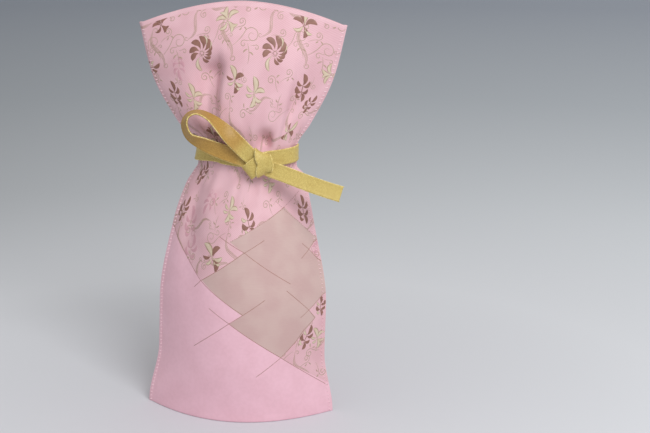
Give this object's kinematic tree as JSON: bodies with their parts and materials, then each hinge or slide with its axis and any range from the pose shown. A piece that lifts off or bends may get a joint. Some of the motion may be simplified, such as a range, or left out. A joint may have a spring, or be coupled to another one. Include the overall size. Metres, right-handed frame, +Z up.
{
  "type": "sake bottle bag",
  "caption": "Stiff brocade pouch for one sake bottle, drawn in at the neck by a flat cord tied in a half bow, standing on a lens-shaped foot.",
  "frame": {"origin": "on the floor, at the bottom centre of the bag's box", "axes": "+Z up the bag, the front panel and the bow face -Y, +X to the right as seen from the front"},
  "size_m": [0.1795, 0.095, 0.3615],
  "materials": {
    "pink_brocade": "woven brocade, soft sheen",
    "gold_cord": "flat woven cord, soft sheen"
  },
  "bodies": {
    "root": {"bag_cloth": "pink_brocade", "tie_cord": "gold_cord"}
  },
  "joints": []
}
